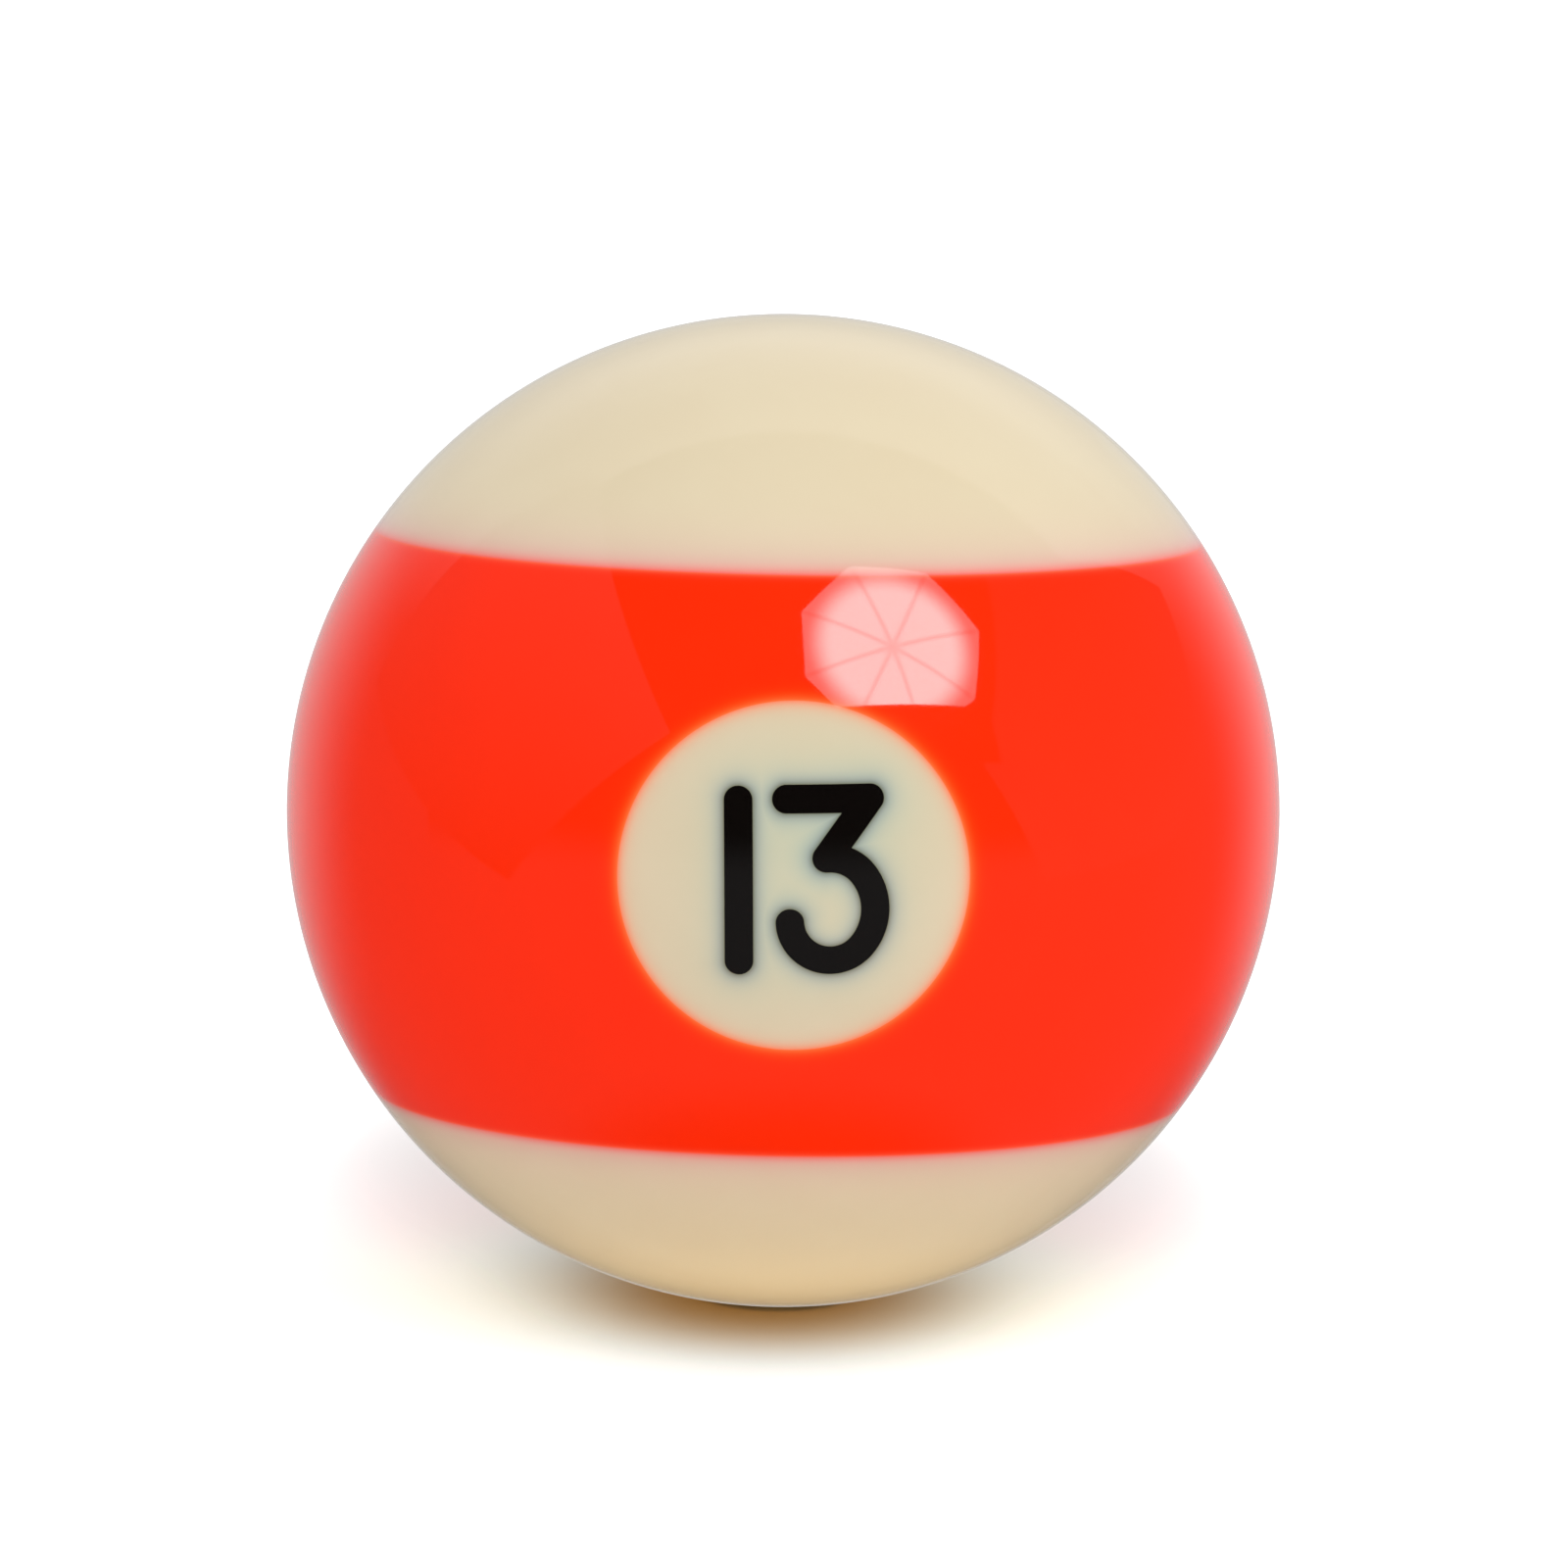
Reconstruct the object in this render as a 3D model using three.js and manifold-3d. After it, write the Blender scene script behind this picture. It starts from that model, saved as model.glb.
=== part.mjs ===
// A striped pool ball, number 13, in cast phenolic resin.
// Millimetres, +Z up. The origin is the ball's centre, the stripe runs round Z,
// and the two number discs face -Y (front) and +Y (back).
import * as THREE from "three";
import { mergeVertices } from "three/addons/utils/BufferGeometryUtils.js";
import Module from "manifold-3d";

const wasm = await Module();
wasm.setup();

// Ball, stripe and core.
const BALL_RADIUS = 57.15 / 2;
const BAND_HALF_HEIGHT = 16;
const CORE_RADIUS = 9.55;
const CORE_TURN = 1.35; // degrees the core sits turned about its own axis, anticlockwise from the front
const BOND_GAP = 0.1; // the hairline left open where two castings are bonded

// Numerals: their inlays and the centre lines of their strokes, x to the right and y up.
const INLAY_DEPTH = 5;
const CUT_CLEAR = 1; // how far a cutting tool stands clear of the ball
const STROKE_WIDTH = 1.5;
const ONE_X = -3;
const ONE_TOP = 4.3;
const ONE_BOTTOM = -4.45;
const THREE_LEFT = -0.4;
const THREE_RIGHT = 4.1;
const THREE_TOP = 4.35;
const THREE_WAIST = { x: 1.75, y: 1.15 };
const THREE_BOWL = [
  { radius: 2.25, turn: 53 },
  { radius: 3.15, turn: 77 },
  { radius: 2.2, turn: 137 },
];

// Facets.
const AROUND = 60; // steps round an axis, a multiple of four so that the ball keeps its full width
const ROW_ANGLE = 6; // degrees between two rows of facets on the ball's surface
const ARC_STEPS = 4; // ExtrudeGeometry gives an arc twice this many sides

const rad = THREE.MathUtils.degToRad;

const RESINS = {
  ivory: { color: 0xe5d6b6, roughness: 0.08, metalness: 0 },
  orange: { color: 0xfe3510, roughness: 0.08, metalness: 0 },
  black: { color: 0x120f0e, roughness: 0.08, metalness: 0 },
};

// A closed three.js geometry as a solid that can be cut and joined.
function toSolid(geometry) {
  geometry.deleteAttribute("normal");
  geometry.deleteAttribute("uv");
  const merged = mergeVertices(geometry);
  const vertProperties = merged.attributes.position.array;
  const triVerts = new Uint32Array(merged.index.array);
  return new wasm.Manifold(new wasm.Mesh({ numProp: 3, vertProperties, triVerts }));
}

// A solid back as a geometry for a mesh.
function toGeometry(solid) {
  const { vertProperties, triVerts } = solid.getMesh();
  const geometry = new THREE.BufferGeometry();
  geometry.setAttribute("position", new THREE.BufferAttribute(vertProperties, 3));
  geometry.setIndex(new THREE.BufferAttribute(triVerts, 1));
  geometry.computeVertexNormals();
  return geometry;
}

function resinMesh(name, geometry, resin) {
  const mesh = new THREE.Mesh(geometry, new THREE.MeshStandardMaterial(RESINS[resin]));
  mesh.name = name;
  return mesh;
}

// Profile points on the ball's surface between two latitudes in radians, lower one first.
function ballProfile(from, to) {
  const rows = Math.ceil((to - from) / rad(ROW_ANGLE));
  return Array.from({ length: rows + 1 }, (_, row) => {
    const latitude = from + ((to - from) * row) / rows;
    return new THREE.Vector2(BALL_RADIUS * Math.cos(latitude), BALL_RADIUS * Math.sin(latitude));
  });
}

// One ivory dome, from the stripe's flat face up to the pole.
function domeGeometry() {
  const base = BAND_HALF_HEIGHT + BOND_GAP / 2;
  const surface = ballProfile(Math.asin(base / BALL_RADIUS), Math.PI / 2);
  surface[surface.length - 1].x = 0;
  const profile = [new THREE.Vector2(0, base), ...surface];
  return new THREE.LatheGeometry(profile, AROUND).rotateX(Math.PI / 2);
}

// The orange slab through the ball's middle, bored from front to back for the core.
function bandGeometry() {
  const top = BAND_HALF_HEIGHT - BOND_GAP / 2;
  const edge = Math.asin(top / BALL_RADIUS);
  const upperHalf = ballProfile(0, edge);
  const lowerHalf = ballProfile(-edge, 0);
  const surface = [...lowerHalf, ...upperHalf.slice(1)];
  const profile = [new THREE.Vector2(0, -top), ...surface, new THREE.Vector2(0, top)];
  const slab = toSolid(new THREE.LatheGeometry(profile, AROUND).rotateX(Math.PI / 2));
  const bore = CORE_RADIUS + BOND_GAP / 2;
  const drill = toSolid(new THREE.CylinderGeometry(bore, bore, 3 * BALL_RADIUS, AROUND));
  return toGeometry(slab.subtract(drill));
}

// The ivory cylinder along Y whose rounded ends are the two number discs.
function coreBlank() {
  const radius = CORE_RADIUS - BOND_GAP / 2;
  const rim = Math.acos(radius / BALL_RADIUS);
  const backEnd = ballProfile(rim, Math.PI / 2);
  backEnd[backEnd.length - 1].x = 0;
  const frontEnd = backEnd.map((point) => new THREE.Vector2(point.x, -point.y)).reverse();
  return toSolid(new THREE.LatheGeometry([...frontEnd, ...backEnd], AROUND));
}

// The outline that a round cutter leaves along a centre line: it starts at a point, heads
// along a straight run, and then may bend clockwise through a chain of arcs, each tangent
// to the one before. Angles are in radians, anticlockwise from +x.
function strokeOutline({ start, heading, run, bends = [] }, width) {
  const half = width / 2;
  const outline = new THREE.Shape();
  const side = (point, angle, distance) => [
    point.x + distance * Math.cos(angle),
    point.y + distance * Math.sin(angle),
  ];
  const arcs = [];
  let normal = heading + Math.PI / 2;
  let end = { x: start.x + run * Math.cos(heading), y: start.y + run * Math.sin(heading) };
  outline.moveTo(...side(start, normal, half));
  outline.lineTo(...side(end, normal, half));
  for (const { radius, turn } of bends) {
    const [x, y] = side(end, normal, -radius);
    const arc = { x, y, radius, from: normal, to: normal - rad(turn) };
    outline.absarc(x, y, radius + half, arc.from, arc.to, true);
    arcs.push(arc);
    normal = arc.to;
    const [endX, endY] = side(arc, normal, radius);
    end = { x: endX, y: endY };
  }
  outline.absarc(end.x, end.y, half, normal, normal - Math.PI, true);
  for (const arc of arcs.reverse()) {
    outline.absarc(arc.x, arc.y, arc.radius - half, arc.to, arc.from, false);
  }
  outline.lineTo(...side(start, heading + Math.PI / 2, -half));
  outline.absarc(start.x, start.y, half, heading - Math.PI / 2, heading - 1.5 * Math.PI, true);
  return outline;
}

// A straight stroke between two points.
function straightStroke(start, end) {
  const dx = end.x - start.x;
  const dy = end.y - start.y;
  return { start, heading: Math.atan2(dy, dx), run: Math.hypot(dx, dy) };
}

// The strokes of each numeral.
const ONE = [straightStroke({ x: ONE_X, y: ONE_BOTTOM }, { x: ONE_X, y: ONE_TOP })];
const THREE_CORNER = { x: THREE_RIGHT, y: THREE_TOP };
const FIGURE_THREE = [
  straightStroke({ x: THREE_LEFT, y: THREE_TOP }, THREE_CORNER),
  straightStroke(THREE_CORNER, THREE_WAIST),
  { start: THREE_WAIST, heading: 0, run: STROKE_WIDTH / 8, bends: THREE_BOWL },
];

// A numeral as an upright prism that reaches from inside the ball to clear of it, at the front.
function numeralPrism(strokes, width, depth) {
  const prisms = strokes.map((stroke) => {
    const outline = strokeOutline(stroke, width);
    const options = { depth: depth + CUT_CLEAR, curveSegments: ARC_STEPS, bevelEnabled: false };
    const prism = new THREE.ExtrudeGeometry(outline, options);
    return toSolid(prism.rotateX(Math.PI / 2).translate(0, depth - BALL_RADIUS, 0));
  });
  return prisms.reduce((whole, prism) => whole.add(prism));
}

// The black inlay of a numeral, flush with the ball's surface.
function inlayGeometry(strokes) {
  const prism = numeralPrism(strokes, STROKE_WIDTH - BOND_GAP, INLAY_DEPTH);
  return toGeometry(prism.intersect(coreBlank()));
}

// The core with a recess for each numeral at both ends.
function coreGeometry() {
  const width = STROKE_WIDTH + BOND_GAP;
  const depth = INLAY_DEPTH + BOND_GAP;
  const front = numeralPrism(ONE, width, depth).add(numeralPrism(FIGURE_THREE, width, depth));
  const back = front.rotate([0, 0, 180]);
  return toGeometry(coreBlank().subtract(front).subtract(back));
}

// The core with its four inlays, turned in its bore as one.
function numberCore() {
  const assembly = new THREE.Group();
  assembly.add(resinMesh("number_core", coreGeometry(), "ivory"));
  for (const [side, turn] of [["front", 0], ["back", Math.PI]]) {
    const pair = new THREE.Group();
    pair.add(resinMesh(`numeral_one_${side}`, inlayGeometry(ONE), "black"));
    pair.add(resinMesh(`numeral_three_${side}`, inlayGeometry(FIGURE_THREE), "black"));
    pair.rotation.z = turn;
    assembly.add(pair);
  }
  assembly.rotation.y = -rad(CORE_TURN);
  return assembly;
}

// The domes above and below the stripe.
function domes() {
  const upper = resinMesh("upper_cap", domeGeometry(), "ivory");
  const lower = resinMesh("lower_cap", domeGeometry(), "ivory");
  lower.rotation.x = Math.PI;
  return [upper, lower];
}

const group = new THREE.Group();
group.add(resinMesh("stripe_band", bandGeometry(), "orange"));
group.add(numberCore());
group.add(...domes());

export default group;
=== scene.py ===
"""Striped pool ball, number 13: phenolic castings bonded together and ground to one sphere.

Metres, +Z up, in the CAD model's frame. The ball's centre is the origin, the stripe runs round Z,
and the two number discs face -Y (front) and +Y (back).
"""

import logging
import math
from dataclasses import dataclass, field
from enum import Enum
from typing import Iterable

import bpy
import numpy as np
from bpy.types import Material, Node, Object
from bpy.types import NodeSocket as Socket
from bpy.types import NodeTree as Tree
from mathutils import Matrix, Quaternion, Vector


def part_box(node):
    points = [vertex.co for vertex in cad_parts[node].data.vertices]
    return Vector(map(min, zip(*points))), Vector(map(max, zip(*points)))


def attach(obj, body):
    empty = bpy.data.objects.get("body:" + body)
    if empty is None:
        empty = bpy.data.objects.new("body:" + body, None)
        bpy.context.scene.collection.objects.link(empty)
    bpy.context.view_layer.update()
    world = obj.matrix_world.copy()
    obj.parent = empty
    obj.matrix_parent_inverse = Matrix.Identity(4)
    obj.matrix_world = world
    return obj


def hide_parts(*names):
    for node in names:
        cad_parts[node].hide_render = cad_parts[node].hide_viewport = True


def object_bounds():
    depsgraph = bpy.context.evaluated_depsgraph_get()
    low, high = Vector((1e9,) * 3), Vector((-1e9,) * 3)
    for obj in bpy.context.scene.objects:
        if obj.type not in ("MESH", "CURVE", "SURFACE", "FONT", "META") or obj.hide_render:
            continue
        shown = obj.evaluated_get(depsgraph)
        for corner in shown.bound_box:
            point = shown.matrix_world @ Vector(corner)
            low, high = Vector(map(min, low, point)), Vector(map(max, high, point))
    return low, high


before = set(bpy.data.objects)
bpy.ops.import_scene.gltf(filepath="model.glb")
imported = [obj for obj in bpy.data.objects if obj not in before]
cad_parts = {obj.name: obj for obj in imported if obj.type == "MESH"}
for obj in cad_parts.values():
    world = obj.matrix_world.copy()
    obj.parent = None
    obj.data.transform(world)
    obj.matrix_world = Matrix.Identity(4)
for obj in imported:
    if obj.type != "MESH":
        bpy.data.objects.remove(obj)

Colour = tuple[float, float, float, float]
Triple = tuple[float, float, float]
Point = tuple[float, float]
Source = Node | Socket | float | Triple

CAD_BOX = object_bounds()
BODY = "root"
MM = 0.001
MICRON = 0.001 * MM
WELD = 1e-7  # metres within which two corners are one
WHITE = "#FFFFFF"
WHOLE = (1.0, 1.0, 1.0)  # all of the red, green and blue
ACROSS_CORE = (1.0, 0.0, 1.0)  # keeps what lies across the core's axis
MATH = "ShaderNodeMath"
VECTOR_MATH = "ShaderNodeVectorMath"
MAP_RANGE = "ShaderNodeMapRange"
MIX = "ShaderNodeMix"
MIX_NUMBERS = (2, 3, 0)  # a Mix node's two inputs and its output when it mixes numbers,
MIX_VECTORS = (4, 5, 1)  # when it mixes vectors,
MIX_COLOURS = (6, 7, 2)  # and when it mixes colours
log = logging.getLogger("pool_ball")


class Cut(Enum):
    """What a boolean tool does to the piece it is used on."""

    JOIN = "UNION"
    REMOVE = "DIFFERENCE"
    KEEP = "INTERSECT"


class End(Enum):
    """The end of the core that a pair of figures is set in, as its turn about Z in degrees."""

    FRONT = 0
    BACK = 180

    @property
    def label(self) -> str:
        """The end's name as the CAD nodes have it."""
        return self.name.lower()


class Slot(Enum):
    """The record's material slots."""

    IVORY = "ivory_resin"
    ORANGE = "orange_resin"
    BLACK = "black_resin"


# ---------------- Sizes ----------------


@dataclass(frozen=True)
class BallSizes:
    """The ball's driving sizes in metres, taken from the CAD nodes."""

    radius: float
    band_half_height: float
    core_radius: float
    inlay_depth: float
    core_turn: float = math.radians(-1.35)

    @classmethod
    def from_frame(cls) -> "BallSizes":
        """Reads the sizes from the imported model.

        The CAD castings stop short of each other by a hairline. The polished ball shows none,
        so each bonded face lies in the middle of that hairline.

        Returns:
            The sizes.
        """
        lowest, highest = CAD_BOX
        radius = (highest.z - lowest.z) / 2
        band_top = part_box("stripe_band")[1].z
        dome_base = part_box("upper_cap")[0].z
        core_low, core_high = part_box("number_core")
        hairline = dome_base - band_top
        return cls(
            radius=radius,
            band_half_height=(band_top + dome_base) / 2,
            core_radius=(core_high.x - core_low.x + hairline) / 2,
            inlay_depth=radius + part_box("numeral_one_front")[1].y,
        )


@dataclass(frozen=True)
class Arc:
    """A clockwise stretch of a stroke's centre line, in millimetres and radians."""

    centre: Point
    radius: float
    start: float
    sweep: float

    def at(self, angle: float) -> Point:
        """The point of the arc's circle at an angle from +x."""
        return offset(self.centre, angle, self.radius)


@dataclass(frozen=True)
class Stroke:
    """One pass of a round cutter: a straight run, then clockwise bends, each tangent to the last.

    Millimetres in the plane of the figure, x to the right and y up. Each bend is a radius and
    the degrees it turns through. An end that lies inside another stroke is left square.
    """

    start: Point
    heading: float
    run: float
    bends: tuple[Point, ...] = ()
    round_start: bool = True
    round_finish: bool = True

    @classmethod
    def between(cls, start: Point, end: Point, round_finish: bool = True) -> "Stroke":
        """A straight stroke between two points."""
        dx, dy = end[0] - start[0], end[1] - start[1]
        return cls(start, math.atan2(dy, dx), math.hypot(dx, dy), round_finish=round_finish)

    @property
    def corner(self) -> Point:
        """Where the straight run ends."""
        return offset(self.start, self.heading, self.run)

    def arcs(self) -> list[Arc]:
        """Works out the bends.

        Returns:
            The bends as arcs, in order.
        """
        found: list[Arc] = []
        point, heading = self.corner, self.heading
        for radius, degrees in self.bends:
            side = heading + math.pi / 2
            arc = Arc(offset(point, side, -radius), radius, side, math.radians(degrees))
            found.append(arc)
            point = arc.at(side - arc.sweep)
            heading -= arc.sweep
        return found

    def finish(self) -> tuple[Point, float]:
        """Finds where the centre line ends.

        Returns:
            Its last point and the heading there.
        """
        arcs = self.arcs()
        if not arcs:
            return self.corner, self.heading
        last = arcs[-1]
        return last.at(last.start - last.sweep), last.start - last.sweep - math.pi / 2


@dataclass(frozen=True)
class FigureSizes:
    """The two figures, in millimetres from the disc's centre."""

    stroke_width: float = 1.54
    one_x: float = -3.0
    one_top: float = 4.3
    one_bottom: float = -4.45
    three_left: float = -0.4
    three_right: float = 4.1
    three_top: float = 4.35
    three_waist: Point = (1.75, 1.15)
    three_flat_share: float = 1 / 8  # of the stroke's width, before the bowl begins
    three_bowl: tuple[Point, ...] = ((2.25, 53.0), (3.15, 77.0), (2.2, 137.0))

    def one(self) -> list[Stroke]:
        """The upright of the 1."""
        return [Stroke.between((self.one_x, self.one_bottom), (self.one_x, self.one_top))]

    def three(self) -> list[Stroke]:
        """Lays out the 3.

        Returns:
            Its flat top, its diagonal and its bowl.
        """
        corner = (self.three_right, self.three_top)
        flat = self.stroke_width * self.three_flat_share
        return [
            Stroke.between((self.three_left, self.three_top), corner, round_finish=False),
            Stroke.between(corner, self.three_waist),
            Stroke(self.three_waist, 0.0, flat, self.three_bowl, round_start=False),
        ]


def offset(point: Point, angle: float, distance: float) -> Point:
    """The point at a distance from another, along an angle from +x."""
    return point[0] + distance * math.cos(angle), point[1] + distance * math.sin(angle)


# ---------------- Modelling by hand ----------------


def pick(*pieces: Object) -> None:
    """Makes these the only selected objects and the first of them the active one.

    Args:
        *pieces: The objects.
    """
    bpy.ops.object.select_all(action="DESELECT")
    for piece in pieces:
        piece.select_set(True)
    bpy.context.view_layer.objects.active = pieces[0]


def name_new(name: str) -> Object:
    """Names the primitive that was just added, and its mesh.

    Args:
        name: The name for both.

    Returns:
        The object.
    """
    piece = bpy.context.object
    piece.name = piece.data.name = name
    return piece


def place(piece: Object, matrix: Matrix) -> None:
    """Moves a piece and puts the move into its mesh, so that its object stays at the origin.

    Args:
        piece: Object whose own transform has been applied.
        matrix: Where it goes.
    """
    pick(piece)
    piece.matrix_world = matrix
    bpy.ops.object.transform_apply(location=True, rotation=True, scale=True)


def edit_all(piece: Object) -> None:
    """Opens a piece in edit mode with its whole mesh selected.

    Args:
        piece: The object.
    """
    pick(piece)
    bpy.ops.object.mode_set(mode="EDIT")
    bpy.ops.mesh.select_all(action="SELECT")


def close_edit() -> None:
    """Goes back to object mode."""
    bpy.ops.object.mode_set(mode="OBJECT")


def slice_off(piece: Object, point: Vector, outward: Vector, cap: bool = True) -> None:
    """Cuts a piece with a plane and keeps the side that the normal points away from.

    Args:
        piece: Object to cut.
        point: A point of the plane.
        outward: The plane's normal, towards the side that is thrown away.
        cap: Whether the cut is closed with a flat face.
    """
    edit_all(piece)
    bpy.ops.mesh.bisect(
        plane_co=point, plane_no=outward, use_fill=cap, clear_outer=True, threshold=WELD
    )
    close_edit()


def weld(piece: Object) -> None:
    """Merges corners that lie on each other and turns every face outwards.

    Args:
        piece: Object to weld.
    """
    edit_all(piece)
    bpy.ops.mesh.remove_doubles(threshold=WELD)
    bpy.ops.mesh.normals_make_consistent(inside=False)
    close_edit()


def use_tool(piece: Object, tool: Object, cut: Cut) -> None:
    """Cuts a piece with another, which stays as it is.

    Args:
        piece: Object that is changed.
        tool: Closed solid that it is joined to, cut by or kept inside.
        cut: Which of those three.
    """
    pick(piece)
    modifier = piece.modifiers.new(cut.name.lower(), "BOOLEAN")
    modifier.operation = cut.value
    modifier.solver = "MANIFOLD"
    modifier.object = tool
    bpy.ops.object.modifier_apply(modifier=modifier.name)


def discard(pieces: Iterable[Object]) -> None:
    """Deletes tools and blanks that the finished pieces no longer need."""
    for piece in pieces:
        bpy.data.meshes.remove(piece.data)


def copy_of(piece: Object, name: str) -> Object:
    """Copies a piece with its mesh.

    Args:
        piece: Object to copy.
        name: The copy's name.

    Returns:
        The copy.
    """
    twin = piece.copy()
    twin.data = piece.data.copy()
    twin.name = twin.data.name = name
    bpy.context.scene.collection.objects.link(twin)
    return twin


# ---------------- Finishes ----------------


def linear(hex_colour: str) -> Colour:
    """Turns an sRGB hex colour into linear light.

    Args:
        hex_colour: A colour such as "#DDCFB0".

    Returns:
        Linear red, green, blue and alpha.
    """
    channels = [int(hex_colour[i : i + 2], 16) / 255 for i in (1, 3, 5)]
    red, green, blue = (
        # the sRGB standard's curve: a straight line in the darks, a power above them
        c / 12.92 if c <= 0.04045 else ((c + 0.055) / 1.055) ** 2.4
        for c in channels
    )
    return red, green, blue, 1.0


def add_node(tree: Tree, kind: str, inputs: dict | tuple = (), **settings: object) -> Node:
    """Adds a shader node with its options and inputs.

    Args:
        tree: Node tree that gets the node.
        kind: Blender's name for the node type.
        inputs: Values and sources, in the order of the node's inputs or by the input's name
            or number. A node as a source stands for its first output.
        **settings: The node's own options, such as operation="ADD".

    Returns:
        The new node.
    """
    node = tree.nodes.new(kind)
    for option, value in settings.items():
        setattr(node, option, value)
    keyed = inputs if isinstance(inputs, dict) else dict(enumerate(inputs))
    for key, value in keyed.items():
        source = value.outputs[0] if isinstance(value, Node) else value
        if isinstance(source, Socket):
            tree.links.new(source, node.inputs[key])
        else:
            node.inputs[key].default_value = source
    return node


def blank_material(name: str) -> tuple[Material, Tree]:
    """Makes a material with no nodes.

    Args:
        name: The material's name.

    Returns:
        The material and its empty node tree.
    """
    made = bpy.data.materials.new(name)
    made.use_nodes = True
    made.node_tree.nodes.clear()
    return made, made.node_tree


@dataclass(frozen=True)
class Stain:
    """How far a neighbour's colour shows through resin that is a little clear.

    Light of each colour fades over its own depth, so the edge is soft and changes hue. The
    colour is what the resin turns to right at the bond.
    """

    colour: str
    reach_mm: Triple

    def over(self, tree: Tree, base: Source, distance: Source, resin: str) -> Node:
        """Lays the stain over a colour.

        Args:
            tree: Node tree of the resin.
            base: The resin's colour before the stain.
            distance: Millimetres from the bonded edge.
            resin: The resin's own colour, far from any edge.

        Returns:
            The stained colour.
        """
        fade = tuple(math.exp(-1 / reach) for reach in self.reach_mm)
        change = tuple(at / own - 1 for at, own in zip(linear(self.colour), linear(resin)))[:3]
        strength = add_node(tree, VECTOR_MATH, (fade, distance), operation="POWER")
        factor = add_node(tree, VECTOR_MATH, (strength, change, WHOLE), operation="MULTIPLY_ADD")
        return add_node(tree, VECTOR_MATH, (base, factor), operation="MULTIPLY")


@dataclass(frozen=True)
class CastResin:
    """Cast phenolic, tumbled to a mirror polish: deep even colour under a hard clear gloss."""

    name: str
    colour: str
    clouded: str
    roughness: float = 0.035
    ior: float = 1.6
    cloud_mm: float = 9.0
    cloud_detail: float = 3.0
    cloud_curl: float = 1.2
    swirl_mm: float = 5.0
    swirl_detail: float = 1.0
    ripple_um: float = 0.4

    def material(self) -> Material:
        """Makes the finish.

        Returns:
            The material.
        """
        made, tree = blank_material(self.name)
        place_m = add_node(tree, "ShaderNodeTexCoord").outputs["Object"]
        to_mm = {"Vector": place_m, "Scale": (1 / MM,) * 3}
        place_mm = add_node(tree, "ShaderNodeMapping", to_mm)
        shader = add_node(
            tree,
            "ShaderNodeBsdfPrincipled",
            {
                "Base Color": self.body_colour(tree, place_mm),
                "Normal": self.polish(tree, place_mm),
                "Roughness": self.roughness,
                "IOR": self.ior,
            },
        )
        add_node(tree, "ShaderNodeOutputMaterial", (shader,))
        return made

    def body_colour(self, tree: Tree, place_mm: Source) -> Source:
        """The resin's own colour, stained by its neighbours.

        Pigment stirred in by hand leaves clouds a shade apart.

        Args:
            tree: Node tree of the resin.
            place_mm: The point on the ball in millimetres.

        Returns:
            The colour.
        """
        clouds = add_node(
            tree,
            "ShaderNodeTexNoise",
            {
                "Vector": place_mm,
                "Scale": 1 / self.cloud_mm,
                "Detail": self.cloud_detail,
                "Distortion": self.cloud_curl,
            },
        )
        first, second, mixed = MIX_COLOURS
        shades = {0: clouds, first: linear(self.colour), second: linear(self.clouded)}
        colour = add_node(tree, MIX, shades, data_type="RGBA").outputs[mixed]
        for stain, distance in self.stains(tree, place_mm):
            colour = stain.over(tree, colour, distance, self.colour)
        return colour

    def stains(self, tree: Tree, place_mm: Source) -> list[tuple[Stain, Source]]:
        """What stains the resin, with the distance from each edge: nothing, as a rule."""
        return []

    def polish(self, tree: Tree, place_mm: Source) -> Node:
        """The last trace of the polishing tumbler, which makes reflections waver very slightly.

        Args:
            tree: Node tree of the resin.
            place_mm: The point on the ball in millimetres.

        Returns:
            The surface's normal.
        """
        swirl = {"Vector": place_mm, "Scale": 1 / self.swirl_mm, "Detail": self.swirl_detail}
        ripple = add_node(tree, "ShaderNodeTexNoise", swirl)
        relief = {"Height": ripple, "Strength": 1.0, "Distance": self.ripple_um * MICRON}
        return add_node(tree, "ShaderNodeBump", relief)


@dataclass(frozen=True)
class FigureBlack(CastResin):
    """Black resin let into the core, as hard and glossy as the rest of the ball."""

    name: str = "polished_black_phenolic"
    colour: str = "#0B0807"
    clouded: str = "#0D0A09"


@dataclass(frozen=True)
class DomeIvory(CastResin):
    """Ivory resin over the orange stripe, which blushes it pink where the two meet."""

    name: str = "polished_ivory_phenolic_dome"
    colour: str = "#DDCFB0"
    clouded: str = "#DACAAA"
    edge_mm: float = 16.0
    blush: Stain = Stain("#D9A8A3", (1.0, 1.0, 1.0))
    edge: Stain = Stain("#FC7E62", (0.27, 0.24, 0.24))

    def stains(self, tree: Tree, place_mm: Source) -> list[tuple[Stain, Source]]:
        """Pink and then orange towards the dome's flat face."""
        above = distance_past(tree, distance_from_middle(tree, place_mm), self.edge_mm)
        return [(self.blush, above), (self.edge, above)]


@dataclass(frozen=True)
class StripeOrange(CastResin):
    """Orange resin of the stripe, a little yellower where ivory lies under or beside it."""

    name: str = "polished_orange_phenolic"
    colour: str = "#FF2D08"
    clouded: str = "#FC2A08"
    core_mm: float = 9.55
    edge_mm: float = 16.0
    rim: Stain = Stain("#FF743C", (0.2, 0.22, 0.14))
    edge: Stain = Stain("#FC6A48", (0.08, 0.1, 0.1))

    def stains(self, tree: Tree, place_mm: Source) -> list[tuple[Stain, Source]]:
        """Lightens the last fraction of a millimetre before any ivory.

        Args:
            tree: Node tree of the resin.
            place_mm: The point on the ball in millimetres.

        Returns:
            Each stain with the distance from its edge.
        """
        below = distance_past(tree, self.edge_mm, distance_from_middle(tree, place_mm))
        outside = distance_past(tree, distance_from_core_axis(tree, place_mm), self.core_mm)
        return [(self.edge, below), (self.rim, outside)]


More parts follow.
